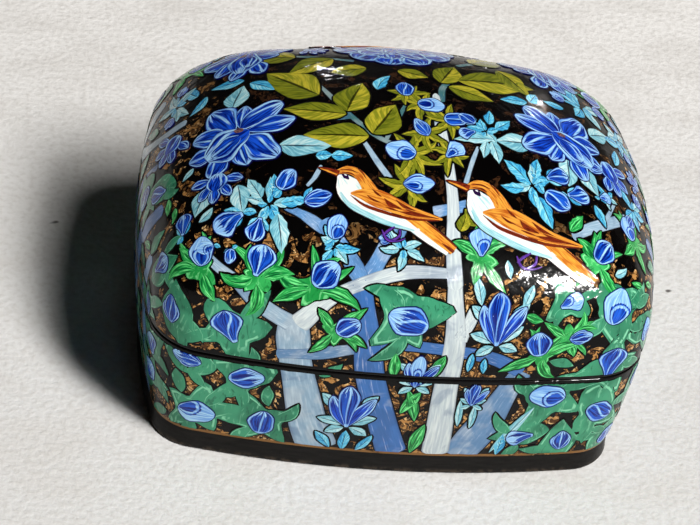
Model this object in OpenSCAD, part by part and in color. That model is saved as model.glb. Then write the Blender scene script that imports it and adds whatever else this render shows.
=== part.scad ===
// Lidded trinket box of moulded papier mache, pillow shaped, with a lift-off domed lid.
// The two moulded shells meet at a level joint, and a glued-in neck keeps the lid in place.
// Sizes are in millimetres. Z is up and the origin is under the middle of the foot.

/* [Outside] */
// Width of the box at its widest section, left to right
box_w = 100; // [80:1:150]
// Depth of the box at its widest section, front to back
box_d = 76; // [64:1:110]
// Height of the closed box, from the table to the crown of the lid
box_h = 64; // [56:1:90]
// Radius of the four upright corners
corner_r = 12; // [10:0.5:16]
// Radius of the bow in the front and back
long_bow_r = 210; // [160:5:400]
// Radius of the bow in the two ends
short_bow_r = 128; // [100:2:300]

/* [Heights] */
// Height of the joint between base and lid
joint_h = 26.5; // [22:0.5:32]
// Height of the widest section above the joint
belly_rise = 7.5; // [7.5:0.5:10]
// Height of the black foot
foot_h = 4.6; // [3:0.2:7]

/* [Moulded shells] */
// Thickness of the pulp wall
wall = 2.6; // [2.4:0.1:4]
// Thickness of the lid at its crown
crown_t = 3; // [2:0.1:5]
// Thickness of the base's floor
floor_t = 3; // [2:0.1:5]
// How far the body draws in from the belly down to the foot
draw_in = 2.9; // [1:0.1:3.5]
// Radius of the round where the inside wall meets the floor
floor_round = 5; // [2:0.5:8]
// Softness of the two painted edges at the joint
edge_soft = 0.45; // [0.2:0.05:0.6]

/* [Neck] */
// Thickness of the neck band
neck_t = 1.4; // [1:0.1:2]
// How far the neck stands above the joint
neck_rise = 6; // [4:0.5:7]
// How far the neck is glued down inside the base
neck_seat = 9; // [5:0.5:10]
// Gap all round between the neck and the lid
lid_gap = 0.3; // [0.2:0.05:0.5]
// Chamfer on the neck's upper edges
neck_soft = 0.4; // [0.2:0.05:0.45]

/* [Foot] */
// Width of the foot ring
foot_w = 6; // [4:0.5:9]
// How far the foot stands back from the body's lower edge
foot_back = 0.5; // [0.2:0.1:1.5]
// Radius of the foot's worn lower edge
foot_round = 0.9; // [0.4:0.1:1.2]

/* [Hidden] */

// Facets in each quarter of the outline: half an end, a corner, half a long side
end_steps = 4;
corner_steps = 10;
side_steps = 7;
// Rings up the dome and down the body
dome_rings = 13;
belly_rings = 3;
body_rings = 7;
round_rings = 4;
// Size of the small flat at the crown, as a share of the belly's outline
crown_share = 0.04;
// Sharpest corner that an inside outline may have
least_corner_r = 1;
// Least height of plain wall between the floor's round and the neck's seat
least_wall_h = 0.5;

belly_h = joint_h + belly_rise;
floor_z = foot_h + floor_t;
round_top_z = floor_z + floor_round;
// The neck stops above the floor's round, however deep it would like to sit
neck_low_z = max(joint_h - neck_seat, round_top_z + least_wall_h);
neck_top_z = joint_h + neck_rise;

lacquer_black = [0.05, 0.045, 0.045];
foot_black = [0.1, 0.09, 0.085];
paint_blue = [0.25, 0.38, 0.72];
paint_green = [0.2, 0.5, 0.35];

// Centre of the corner arc that runs smoothly into both bowed sides of the first quarter
function corner_centre(half_w, half_d, side_r, end_r, r) =
    let (
        side_c = [0, half_d - side_r],
        end_c = [half_w - end_r, 0],
        reach_side = side_r - r,
        reach_end = end_r - r,
        apart = norm(end_c - side_c),
        along = (reach_side ^ 2 - reach_end ^ 2 + apart ^ 2) / (2 * apart),
        across = sqrt(reach_side ^ 2 - along ^ 2),
        ahead = (end_c - side_c) / apart
    ) side_c + along * ahead + across * [ahead.y, -ahead.x];

function on_arc(centre, r, from, to, step, steps) =
    let (turn = from + (to - from) * step / steps)
    centre + r * [cos(turn), sin(turn)];

// First quarter of the outline, drawn in by inset, from the +X end round to the +Y side
function quarter(inset) =
    let (
        half_w = box_w / 2 - inset,
        half_d = box_d / 2 - inset,
        side_r = long_bow_r - inset,
        end_r = short_bow_r - inset,
        r = max(corner_r - inset, least_corner_r),
        side_c = [0, half_d - side_r],
        end_c = [half_w - end_r, 0],
        corner_c = corner_centre(half_w, half_d, side_r, end_r, r),
        end_turn = atan2(corner_c.y - end_c.y, corner_c.x - end_c.x),
        side_turn = atan2(corner_c.y - side_c.y, corner_c.x - side_c.x)
    ) [
        for (i = [0 : end_steps - 1]) on_arc(end_c, end_r, 0, end_turn, i, end_steps),
        for (i = [0 : corner_steps - 1]) on_arc(corner_c, r, end_turn, side_turn, i, corner_steps),
        for (i = [0 : side_steps]) on_arc(side_c, side_r, side_turn, 90, i, side_steps)
    ];

// The whole outline: the quarter, then its mirror images, counter-clockwise
function outline(inset) =
    let (q = quarter(inset), n = len(q) - 1) concat(
        q,
        [for (i = [n - 1 : -1 : 0]) [-q[i].x, q[i].y]],
        [for (i = [1 : n]) [-q[i].x, -q[i].y]],
        [for (i = [n - 1 : -1 : 1]) [q[i].x, -q[i].y]]
    );

// The outline as a ring of points at height z
function ring(inset, z) = [for (p = outline(inset)) [p.x, p.y, z]];

// A ring of the dome: the outline shrinks by share and turns gently into an oval
function dome_ring(inset, share, z) =
    let (half_w = box_w / 2 - inset, half_d = box_d / 2 - inset) [
        for (p = outline(inset))
            let (
                turn = atan2(p.y / half_d, p.x / half_w),
                oval = [half_w * cos(turn), half_d * sin(turn)],
                flat = share * (share * p + (1 - share) * oval)
            ) [flat.x, flat.y, z]
    ];

// Rings of a dome from the belly up to the crown at top_z, whose profile is a quarter ellipse.
// The last ring is the small flat at the crown.
function dome(inset, top_z) = [
    for (i = [1 : dome_rings])
        let (turn = 90 * i / dome_rings)
        dome_ring(
            inset,
            max(cos(turn), crown_share),
            belly_h + (top_z - belly_h) * sin(turn)
        )
];

// How far the outside is drawn in at height z, below the belly
function drawn_in(z) = draw_in * ((belly_h - z) / (belly_h - foot_h)) ^ 2;

// Rings down the outside of the body between two heights
function body_rings_between(top_z, low_z, steps) = [
    for (i = [0 : steps])
        let (z = top_z + (low_z - top_z) * i / steps) ring(drawn_in(z), z)
];

function reverse(list) = [for (i = [len(list) - 1 : -1 : 0]) list[i]];

// Solid skinned over a stack of rings. Each ring joins the next, and both ends are closed flat.
module skin(rings) {
    n = len(rings[0]);
    last = len(rings) - 1;
    points = [for (r = rings) for (p = r) p];
    sides = [
        for (i = [0 : last - 1], j = [0 : n - 1])
            let (a = i * n + j, b = i * n + (j + 1) % n)
            each [[a, a + n, b], [b, a + n, b + n]]
    ];
    first_cap = [for (j = [0 : n - 1]) j];
    last_cap = [for (j = [n - 1 : -1 : 0]) last * n + j];
    polyhedron(points, concat(sides, [first_cap, last_cap]));
}

// Solid skinned over rings whose last ring joins the first again, such as a band
module skin_loop(rings) {
    n = len(rings[0]);
    m = len(rings);
    points = [for (r = rings) for (p = r) p];
    sides = [
        for (i = [0 : m - 1], j = [0 : n - 1])
            let (
                a = i * n + j,
                b = i * n + (j + 1) % n,
                c = (i + 1) % m * n + j,
                d = (i + 1) % m * n + (j + 1) % n
            ) each [[a, c, b], [b, c, d]]
    ];
    polyhedron(points, sides);
}

// Domed lid: outside down from the crown, over the rim, and up the inside again
module lid_shell() {
    inside = wall - lid_gap;
    outer = concat(
        reverse(dome(0, box_h)),
        body_rings_between(belly_h, joint_h + edge_soft, belly_rings)
    );
    rim = [
        ring(drawn_in(joint_h) + edge_soft, joint_h),
        ring(inside, joint_h)
    ];
    inner = concat([ring(inside, belly_h)], dome(inside, box_h - crown_t));
    color(paint_blue) skin(concat(outer, rim, inner));
}

// Base: outside up from the foot, over the rim, down the neck's seat, and round into the floor
module base_shell() {
    outer = reverse(body_rings_between(joint_h - edge_soft, foot_h, body_rings));
    rim = [ring(drawn_in(joint_h) + edge_soft, joint_h), ring(wall, joint_h)];
    lower_wall = wall + drawn_in(round_top_z) - drawn_in(neck_low_z);
    inner = [
        ring(wall, neck_low_z),
        for (i = [0 : round_rings])
            let (turn = 90 * i / round_rings)
            ring(
                lower_wall + floor_round * (1 - cos(turn)),
                floor_z + floor_round * (1 - sin(turn))
            )
    ];
    color(paint_green) skin(concat(outer, rim, inner));
}

// Thin band glued inside the base. Its upper part is the neck that the lid slips over.
module neck_band() {
    back = wall + neck_t;
    color(lacquer_black) skin_loop([
        ring(wall, neck_low_z),
        ring(wall, neck_top_z - neck_soft),
        ring(wall + neck_soft, neck_top_z),
        ring(back - neck_soft, neck_top_z),
        ring(back, neck_top_z - neck_soft),
        ring(back, neck_low_z)
    ]);
}

// Foot ring under the base, with its lower edge worn round
module foot_ring() {
    front = draw_in + foot_back;
    back = front + foot_w;
    color(foot_black) skin_loop([
        for (i = [0 : round_rings])
            let (turn = 90 * i / round_rings)
            ring(front + foot_round * (1 - sin(turn)), foot_round * (1 - cos(turn))),
        ring(front, foot_h),
        ring(back, foot_h),
        ring(back, 0)
    ]);
}

base_shell();
neck_band();
foot_ring();
lid_shell();
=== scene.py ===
import math
import random

import bmesh
import bpy
import numpy as np
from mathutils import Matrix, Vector
from mathutils.bvhtree import BVHTree
from mathutils.kdtree import KDTree


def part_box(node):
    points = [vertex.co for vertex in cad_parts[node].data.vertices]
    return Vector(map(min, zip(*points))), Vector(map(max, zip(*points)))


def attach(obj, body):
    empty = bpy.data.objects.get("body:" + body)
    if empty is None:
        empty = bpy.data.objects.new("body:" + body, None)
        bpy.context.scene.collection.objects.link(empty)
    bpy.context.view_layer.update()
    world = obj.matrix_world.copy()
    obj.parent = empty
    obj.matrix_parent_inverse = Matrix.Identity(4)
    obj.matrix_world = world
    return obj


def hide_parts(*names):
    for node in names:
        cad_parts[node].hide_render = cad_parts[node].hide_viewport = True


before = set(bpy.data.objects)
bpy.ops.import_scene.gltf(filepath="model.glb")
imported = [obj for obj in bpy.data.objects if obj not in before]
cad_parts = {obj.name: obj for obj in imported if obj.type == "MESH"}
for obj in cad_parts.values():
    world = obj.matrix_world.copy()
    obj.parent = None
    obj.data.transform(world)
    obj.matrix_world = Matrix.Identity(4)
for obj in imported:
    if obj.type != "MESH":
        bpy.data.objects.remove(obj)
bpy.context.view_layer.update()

MM = 0.001

# Sizes of the moulded pieces
LID_LOW, LID_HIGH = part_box("lid_shell")
NECK_LOW, NECK_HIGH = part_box("neck_band")
BOX_W = (LID_HIGH.x - LID_LOW.x) / MM
BOX_D = (LID_HIGH.y - LID_LOW.y) / MM
BOX_H = LID_HIGH.z / MM
JOINT_H = LID_LOW.z / MM
FOOT_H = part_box("foot_ring")[1].z / MM
BELLY_RISE = 7.5
BELLY_H = JOINT_H + BELLY_RISE
CORNER_R = 12
LONG_BOW_R = 210
SHORT_BOW_R = 128
LEAST_CORNER_R = 1
WALL = 2.6
CROWN_T = 3
FLOOR_T = 3
FLOOR_ROUND = 5
DRAW_IN = 2.9
EDGE_SOFT = 0.45
NECK_T = 1.4
NECK_SOFT = 0.4
LID_GAP = 0.3
FOOT_W = 6
FOOT_BACK = 0.15
FOOT_FLARE = 0.35
FOOT_ROUND = 0.7

# Steps along a quarter of the outline: half an end, a corner, half a long side
END_STEPS = 6
CORNER_STEPS = 14
SIDE_STEPS = 12
DOME_STEPS = 36
BODY_STEPS = 16
ROUND_STEPS = 5
SMOOTH_ANGLE = math.radians(35)

# Films of paint: how deep they start in the wall, and the steps in height from mark to mark
PAINT_SUNK = 0.05
MARK_GAP = 0.02
LEVEL_STEP = 0.012
UNEVEN_LIFT = 0.4
# Where they stop, from the joint and from the foot
JOINT_LINE = 1.0
FOOT_LINE = 0.7

chance = random.Random(11)


def shade(red, green, blue):
    """A paint's colour, given as it looks on a colour card, in the numbers that shaders use."""
    card = [v / 255 for v in (red, green, blue)]
    return tuple(v / 12.92 if v < 0.04045 else ((v + 0.055) / 1.055) ** 2.4 for v in card) + (1.0,)


# Layers of the painting: lift over the skin, and the width and colour of the dark line round each mark
LAYERS = {
    "wood": (0.03, 0.3, shade(8, 7, 9)),
    "leaf": (0.1, 0.32, shade(8, 8, 8)),
    "bloom": (0.18, 0.16, shade(8, 10, 70)),
    "bird": (0.3, 0.17, shade(30, 12, 20)),
}
PLAIN = (1, 1, 1, 1)
# Rows and columns of the sheets that marks are made of, for marks up to a length
SHEETS = ((4.5, 8, 3), (9, 12, 5), (99, 16, 6))
TRAIL_ROWS, TRAIL_COLS = 20, 4
LIMB_ROWS, LIMB_COLS = 40, 4
DISC_RINGS, DISC_STEPS = 4, 40
# Points that a freehand line is first drawn through
TRAIL_POINTS, LIMB_POINTS = 120, 160
# How soon a mark's line and a limb reach their full width, and how far an unsteady edge wavers
LINE_ENDS, LIMB_ENDS = 12, 60
WAVER = 0.09
# Depth under the outside from which a shell's faces count as its inside
INSIDE_DEPTH = EDGE_SOFT + 0.5


# Outline and rings of the moulded pieces


def arc(centre, radius, start, end, steps):
    return [
        centre + radius * np.array([math.cos(a), math.sin(a)])
        for a in np.linspace(start, end, steps, endpoint=False)
    ]


def outline(inset):
    """The bowed rectangle seen from above, drawn in by inset, counter-clockwise from the +X end."""
    half_w, half_d = BOX_W / 2 - inset, BOX_D / 2 - inset
    side_r, end_r = LONG_BOW_R - inset, SHORT_BOW_R - inset
    corner_r = max(CORNER_R - inset, LEAST_CORNER_R)
    side_c = np.array([0, half_d - side_r])
    end_c = np.array([half_w - end_r, 0])
    reach_side, reach_end = side_r - corner_r, end_r - corner_r
    apart = np.linalg.norm(end_c - side_c)
    ahead = (end_c - side_c) / apart
    along = (reach_side**2 - reach_end**2 + apart**2) / (2 * apart)
    across = math.sqrt(reach_side**2 - along**2)
    corner_c = side_c + along * ahead + across * np.array([ahead[1], -ahead[0]])
    end_turn = math.atan2(*(corner_c - end_c)[::-1])
    side_turn = math.atan2(*(corner_c - side_c)[::-1])
    quarter = arc(end_c, end_r, 0, end_turn, END_STEPS)
    quarter += arc(corner_c, corner_r, end_turn, side_turn, CORNER_STEPS)
    quarter += arc(side_c, side_r, side_turn, math.pi / 2, SIDE_STEPS)
    quarter = np.array(quarter + [[0, half_d]])
    half = np.concatenate([quarter, quarter[-2::-1] * [-1, 1]])
    return np.concatenate([half, half[-2:0:-1] * [1, -1]])


def ring(inset, z, share=1.0):
    """The outline at height z, shrunk by share and then turned gently into an oval, as on the dome."""
    flat = outline(inset)
    half = np.array([BOX_W / 2 - inset, BOX_D / 2 - inset])
    turn = np.arctan2(flat[:, 1] / half[1], flat[:, 0] / half[0])
    oval = half * np.stack([np.cos(turn), np.sin(turn)], 1)
    flat = share * (share * flat + (1 - share) * oval)
    return np.column_stack([flat, np.full(len(flat), z)])


def dome(inset, top_z):
    """Rings from just above the belly up to the crown, whose profile is a quarter ellipse."""
    turns = np.linspace(0, math.pi / 2, DOME_STEPS + 1)[1:]
    rise = top_z - BELLY_H
    return [ring(inset, BELLY_H + rise * math.sin(t), max(math.cos(t), 0.0)) for t in turns]


def drawn_in(z):
    """How far the outside is drawn in at height z, below the belly."""
    return DRAW_IN * ((BELLY_H - z) / (BELLY_H - FOOT_H)) ** 2


def body_rings(low_z, high_z):
    return [ring(drawn_in(z), z) for z in np.linspace(low_z, high_z, BODY_STEPS)]


def rounded(inset, z, radius, rise, aside=1, steps=ROUND_STEPS):
    """Rings round a quarter turn, from the wall at inset to the face at height z."""
    return [
        ring(inset + aside * radius * (1 - math.cos(t)), z + rise * radius * (1 - math.sin(t)))
        for t in np.linspace(0, math.pi / 2, steps)
    ]


# The moulded pieces


def edit(on=True):
    bpy.ops.object.mode_set(mode="EDIT" if on else "OBJECT")


def select_all():
    bpy.ops.mesh.select_all(action="SELECT")


def deselect():
    if bpy.context.mode != "OBJECT":
        edit(False)
    bpy.ops.object.select_all(action="DESELECT")


def pick(piece):
    deselect()
    piece.select_set(True)
    bpy.context.view_layer.objects.active = piece


def close_up():
    """Turns the edited skin's faces outward and smooths all but its sharp edges."""
    bpy.ops.mesh.normals_make_consistent(inside=False)
    edit(False)
    bpy.ops.object.shade_smooth_by_angle(angle=SMOOTH_ANGLE)


def skin(name, rings):
    """Closed skin of a moulded piece: a hoop that is drawn on from ring to ring, then joined up."""
    deselect()
    bpy.ops.mesh.primitive_circle_add(vertices=len(rings[0]), radius=BOX_W / 2 * MM)
    piece = bpy.context.object
    piece.name = piece.data.name = name
    place = piece.data.attributes.new("place", "INT", "POINT")
    place.data.foreach_set("value", range(len(rings[0])))
    piece.data.vertices.foreach_set("co", (rings[0] * MM).ravel())
    edit()
    select_all()
    for points in rings[1:]:
        bpy.ops.mesh.extrude_region_move()
        cage = bmesh.from_edit_mesh(piece.data)
        order = cage.verts.layers.int["place"]
        for v in cage.verts:
            if v.select:
                v.co = points[v[order]] * MM
    select_all()
    bpy.ops.mesh.remove_doubles(threshold=1e-6)
    close_up()
    piece.data.attributes.remove(piece.data.attributes["place"])
    return piece


def lid_skin():
    """Domed lid: down the outside from the crown, round the rim and up the inside."""
    inside = WALL - LID_GAP
    outside = dome(0, BOX_H)[::-1] + body_rings(JOINT_H + EDGE_SOFT, BELLY_H)[::-1]
    rim = rounded(drawn_in(JOINT_H), JOINT_H, EDGE_SOFT, 1)
    hollow = [ring(inside, JOINT_H), ring(inside, BELLY_H)] + dome(inside, BOX_H - CROWN_T)
    return skin("painted_lid_skin", outside + rim + hollow)


def base_skin():
    """Base: out from under the floor, up the side, round the rim and down into the floor."""
    seat_z = NECK_LOW.z / MM
    floor_z = FOOT_H + FLOOR_T
    lower_wall = WALL + drawn_in(floor_z + FLOOR_ROUND) - drawn_in(seat_z)
    outside = [ring(DRAW_IN, FOOT_H, 0)] + body_rings(FOOT_H, JOINT_H - EDGE_SOFT)
    rim = rounded(drawn_in(JOINT_H), JOINT_H, EDGE_SOFT, -1)
    hollow = [ring(WALL, JOINT_H), ring(WALL, seat_z)]
    hollow += rounded(lower_wall, floor_z, FLOOR_ROUND, 1, steps=2 * ROUND_STEPS)
    return skin("painted_base_skin", outside + rim + hollow + [ring(lower_wall, floor_z, 0)])


def neck_skin():
    """The thin band that stands up inside the joint, with its upper edges rubbed round."""
    low_z, top_z = NECK_LOW.z / MM, NECK_HIGH.z / MM
    back = WALL + NECK_T
    outer = rounded(WALL, top_z, NECK_SOFT, -1)
    inner = rounded(back, top_z, NECK_SOFT, -1, -1)[::-1]
    foot = [ring(back, low_z), ring(WALL, low_z)]
    return skin("neck_band_skin", foot[1:] + outer + inner + foot)


def foot_skin():
    """The black foot, which flares a little and is worn round at its lower edge."""
    front = DRAW_IN + FOOT_BACK
    back = front + FOOT_W
    edge = rounded(front - FOOT_FLARE, 0, FOOT_ROUND, 1)[::-1]
    top = [ring(front, FOOT_H), ring(back, FOOT_H), ring(back, 0)]
    return skin("foot_ring_skin", edge + top + edge[:1])


# The closed body's outside, which the paint follows


def body_guide():
    """The closed body's outside as points and faces."""
    rings = body_rings(FOOT_H, BELLY_H) + dome(0, BOX_H)
    count = len(rings[0])
    faces = []
    for i in range(len(rings) - 1):
        low, high = i * count, (i + 1) * count
        for j in range(count):
            k = (j + 1) % count
            faces.append((low + j, low + k, high + k, high + j))
    return np.concatenate(rings), np.array(faces)


GUIDE_POINTS, GUIDE_FACES = body_guide()
GUIDE = BVHTree.FromPolygons([Vector(p) for p in GUIDE_POINTS], GUIDE_FACES.tolist())

LOOKS = {
    "front": (Vector((0, 1, 0)), Vector((0, 0, 1))),
    "back": (Vector((0, -1, 0)), Vector((0, 0, 1))),
    "left": (Vector((1, 0, 0)), Vector((0, 0, 1))),
    "right": (Vector((-1, 0, 0)), Vector((0, 0, 1))),
    "top": (Vector((0, 0, -1)), Vector((0, 1, 0))),
    "brow": (Vector((0, 1, -1)).normalized(), Vector((0, 1, 1)).normalized()),
}
FAR = 200


class Spot:
    """A place on the body: its point, and the directions out, across and up there."""

    def __init__(self, point, out, level, turn=0):
        self.point, self.out = point, out
        level = (level - out * level.dot(out)).normalized()
        turn = math.radians(turn)
        self.across = level * math.cos(turn) + out.cross(level) * math.sin(turn)
        self.up = out.cross(self.across)

    def at(self, flat):
        """Points in the body's space for points drawn on a flat sheet laid on this spot."""
        return np.array(self.point) + flat @ np.array([self.across, self.up])


def spot(side, across, up, turn=0):
    """The spot that is seen at (across, up) by someone who looks straight at a side."""
    look, rise = LOOKS[side]
    right = look.cross(rise)
    point, out, _, _ = GUIDE.ray_cast(right * across + rise * up - look * FAR, look)
    return Spot(point, out, right, turn)


# Paint marks


def flat_sheet(sheet):
    """The points and faces of a flat sheet, which is then put away."""
    edit(False)
    points = np.array([v.co.xy for v in sheet.data.vertices])
    faces = [tuple(p.vertices) for p in sheet.data.polygons]
    bpy.data.objects.remove(sheet)
    return points, faces


def brush_mark(rows, cols):
    """Flat sheet of one mark, across from -1 to 1 and along from 0 to 1, drawn to a point at both ends."""
    deselect()
    bpy.ops.mesh.primitive_grid_add(x_subdivisions=cols, y_subdivisions=rows, size=2)
    sheet = bpy.context.object
    edit()
    for end in (-1, 1):
        bpy.ops.mesh.select_all(action="DESELECT")
        cage = bmesh.from_edit_mesh(sheet.data)
        for v in cage.verts:
            v.select = abs(v.co.y - end) < 1e-4
        cage.select_flush_mode()
        bpy.ops.mesh.merge(type="CENTER")
    points, faces = flat_sheet(sheet)
    return points[:, 0], (1 - np.cos(np.pi * (points[:, 1] + 1) / 2)) / 2, faces


def disc_mark():
    """Flat round sheet, drawn on from hoop to hoop: how far out and which way each of its points lies."""
    deselect()
    bpy.ops.mesh.primitive_circle_add(vertices=DISC_STEPS, radius=1)
    edit()
    select_all()
    for i in range(DISC_RINGS, 1, -1):
        bpy.ops.mesh.extrude_region_move()
        bpy.ops.transform.resize(value=((i - 1) / i, (i - 1) / i, 1))
    bpy.ops.mesh.extrude_region_move()
    bpy.ops.mesh.merge(type="CENTER")
    points, faces = flat_sheet(bpy.context.object)
    return np.hypot(*points.T), np.arctan2(*points.T[::-1]), faces


STROKES = [(length, brush_mark(rows, cols)) for length, rows, cols in SHEETS]
TRAIL = brush_mark(TRAIL_ROWS, TRAIL_COLS)
LIMB = brush_mark(LIMB_ROWS, LIMB_COLS)
DISC = disc_mark()


def pointed(v):
    return np.sin(np.pi * v**0.75) ** 0.95


# How wide a mark is along its length, on its left (1) and right (-1) side
FORMS = {
    "leaf": lambda v, side: pointed(v),
    "jagged": lambda v, side: pointed(v) * (1 - 0.34 * (side > 0) * (v * 4.2 % 1)),
    "petal": lambda v, side: np.sin(np.pi * v**1.25) ** 0.72,
    "cup": lambda v, side: np.sin(np.pi * v**1.1) ** 0.46,
    "wavy": lambda v, side: np.sin(np.pi * v**1.15) ** 0.52 * (1 + 0.07 * np.sin(9.5 * v + 2 * side)),
    "bud": lambda v, side: np.sin(np.pi * v**0.95) ** 0.55,
    "tulip": lambda v, side: 0.18 * (1 - v) + np.sin(np.pi * v**1.9) ** 0.7,
    "lance": lambda v, side: np.sin(np.pi * v) ** 0.85,
    "round": lambda v, side: np.sqrt(np.clip(1 - (2 * v - 1) ** 2, 0, 1)),
}


class Coat:
    """All the marks of one paint: sheets that are laid on the body and given their thickness at the end."""

    def __init__(self):
        self.points, self.faces, self.stroke, self.lift, self.seed, self.tint = [], [], [], [], [], []
        self.count = 0

    def add(self, points, sheet, lift, tint):
        across, along, faces = sheet
        count = len(points)
        self.points.append(points)
        self.faces += [tuple(i + self.count for i in f) for f in faces]
        self.stroke.append(np.column_stack([across, along, np.zeros(count)]))
        self.lift.append(np.full(count, lift))
        self.seed.append(np.full(count, chance.random()))
        self.tint.append(np.tile(tint, (count, 1)))
        self.count += count


coats = {}


def coat(paint):
    return coats.setdefault(paint, Coat())


def layer_of(paint):
    """The layer that a paint is laid in."""
    layers = {"wood": "wood", "petal": "bloom", "bud": "bloom", "heart": "bloom"}
    return layers.get(paint, "bird" if paint.startswith("bird") else "leaf")


def line_width(paint):
    return LAYERS[layer_of(paint)][1]


def lay_mark(paint, place, flat, wider, sheet, level, tint=PLAIN):
    """Puts a mark on the body, over a slightly wider one of dark line."""
    layer = layer_of(paint)
    low, _, line_tint = LAYERS[layer]
    lift = low + MARK_GAP + LEVEL_STEP * (level + chance.uniform(0, UNEVEN_LIFT))
    coat(paint).add(place(flat), sheet, lift, tint)
    lift = low + LEVEL_STEP * chance.uniform(0, UNEVEN_LIFT)
    coat(f"{layer}_line").add(place(wider), sheet, lift, line_tint)


def route(start, turn, length, bend, along):
    """Middle of a mark that sets out from start at turn degrees and bends evenly, with its left side."""
    turn, bend = math.radians(turn), math.radians(bend)
    if abs(bend) < 1e-3:
        bend = 1e-3
    heading = turn + bend * along
    middle = np.column_stack([np.sin(heading) - math.sin(turn), math.cos(turn) - np.cos(heading)])
    return np.array(start) + length / bend * middle, np.column_stack([-np.sin(heading), np.cos(heading)])


def uneven(across, along):
    """The unsteady hand: both edges of a mark waver, each in its own way."""
    shift = np.where(across > 0, chance.uniform(0, 6), chance.uniform(0, 6))
    return 1 + WAVER * np.sin(9 * along + shift)


def blunt(along, steepness):
    """Full width, but for a quick rise from nothing at both ends."""
    return np.clip(np.minimum(along, 1 - along) * steepness, 0, 1)


def spread(middle, left, across, half):
    """A sheet's points when it lies along its middle, half as wide to each side as half says."""
    return middle + left * (across * half)[:, None]


def stroke(paint, place, start, turn, length, width, form="leaf", bend=0, level=0):
    """One mark of the brush on a spot."""
    sheet = next(s for longest, s in STROKES if length <= longest)
    across, along, _ = sheet
    line = line_width(paint)
    flip = chance.choice((1, -1))
    half = width / 2 * FORMS[form](along, across * flip) * uneven(across, along)
    flat = spread(*route(start, turn, length, bend, along), across, half)
    back = np.array(start) - line * np.array(away(turn, 1))
    half += line * blunt(along, LINE_ENDS)
    wider = spread(*route(back, turn, length + 2 * line, bend, along), across, half)
    lay_mark(paint, place.at, flat, wider, sheet, level)


def patch(paint, place, radius, lobes, level=0):
    """An uneven mass with a few blunt points, such as crowded leaves."""
    out, way, _ = DISC
    a, b, c, d = (chance.uniform(0, 6) for _ in range(4))
    points = 1 - np.abs(np.sin(lobes * way / 2 + a + 0.5 * np.sin(way + d)))
    edge = radius * (0.6 + 0.56 * points**0.9)
    edge *= 1 + 0.18 * np.sin(way + b) + 0.12 * np.sin(2 * way + c) + 0.04 * np.sin(9 * way + d)
    ray = np.column_stack([np.cos(way), np.sin(way)])
    flat, wider = (ray * (out * reach)[:, None] for reach in (edge, edge + line_width(paint)))
    lay_mark(paint, place.at, flat, wider, DISC, level)


def smooth_route(points, count):
    """Evenly spaced points on a smooth line through the given ones."""
    points = np.array(points, float)
    padded = np.concatenate([[2 * points[0] - points[1]], points, [2 * points[-1] - points[-2]]])
    spans = len(points) - 1
    at = np.linspace(0, spans, count)
    i = np.minimum(at.astype(int), spans - 1)
    t = (at - i)[:, None]
    a, b, c, d = (padded[i + k] for k in range(4))
    return 0.5 * (2 * b + (c - a) * t + (2 * a - 5 * b + 4 * c - d) * t**2 + (3 * b - a - 3 * c + d) * t**3)


def along_line(values, along):
    """Values along a line, read off at the places of a sheet's points."""
    track = np.linspace(0, 1, len(values))
    return np.column_stack([np.interp(along, track, column) for column in values.T])


def limb(side, stations, tint, level):
    """A trunk or branch on one side of the box, through stations of (across, up, width)."""
    across, along, _ = LIMB
    line = smooth_route(stations, LIMB_POINTS)
    look, rise = LOOKS[side]
    right = look.cross(rise)
    hits = [GUIDE.ray_cast(right * x + rise * y - look * FAR, look) for x, y, _ in line]
    line = line[[h[0] is not None for h in hits]]
    hits = [h for h in hits if h[0] is not None]
    spots = np.array([h[0] for h in hits])
    lefts = np.cross(np.array([h[1] for h in hits]), np.gradient(spots, axis=0))
    lefts /= np.linalg.norm(lefts, axis=1, keepdims=True)
    middle, left = along_line(spots, along), along_line(lefts, along)
    taper = blunt(along, LIMB_ENDS) ** 0.5
    half = along_line(line[:, 2:], along)[:, 0] / 2 * taper * uneven(across, along)
    edge = spread(middle, left, across, half)
    wider = spread(middle, left, across, half + line_width("wood") * taper)
    lay_mark("wood", np.array, edge, wider, LIMB, level, tint)


def trail(paint, place, stations, level):
    """A freehand mark on a spot, through stations of (x, y, width)."""
    across, along, _ = TRAIL
    line = smooth_route(stations, TRAIL_POINTS)
    way = np.gradient(line[:, :2], axis=0)
    left = np.column_stack([-way[:, 1], way[:, 0]]) / np.linalg.norm(way, axis=1, keepdims=True)
    middle, left = along_line(line[:, :2], along), along_line(left, along)
    half = along_line(line[:, 2:], along)[:, 0] / 2
    edge = spread(middle, left, across, half)
    wider = spread(middle, left, across, half + line_width(paint) * blunt(along, LINE_ENDS))
    lay_mark(paint, place.at, edge, wider, TRAIL, level)


# Motifs of the painting


def about(value, share=0.1):
    return value * (1 + chance.uniform(-share, share))


def sway(degrees):
    return chance.uniform(-degrees, degrees)


def away(heading, distance):
    return distance * math.cos(math.radians(heading)), distance * math.sin(math.radians(heading))


def petal(place, start, turn, length, width, level, bend=0.0, form="petal"):
    stroke("petal", place, start, turn, length, width, form, bend, level)


def ball_bloom(place, radius, petals=11, rings=4):
    """A full round flower of many short petals, ring on ring."""
    for r in range(rings):
        reach = radius * (1 - r / rings)
        count = petals - 2 * r
        for i in range(count):
            heading = 360 * (i + 0.5 * r) / count + sway(6)
            length = about(radius * 0.44)
            start = away(heading, max(reach - length, 0))
            petal(place, start, heading, length, about(5.6 * reach / count), 2 * r + i % 2, sway(14), "cup")


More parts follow.
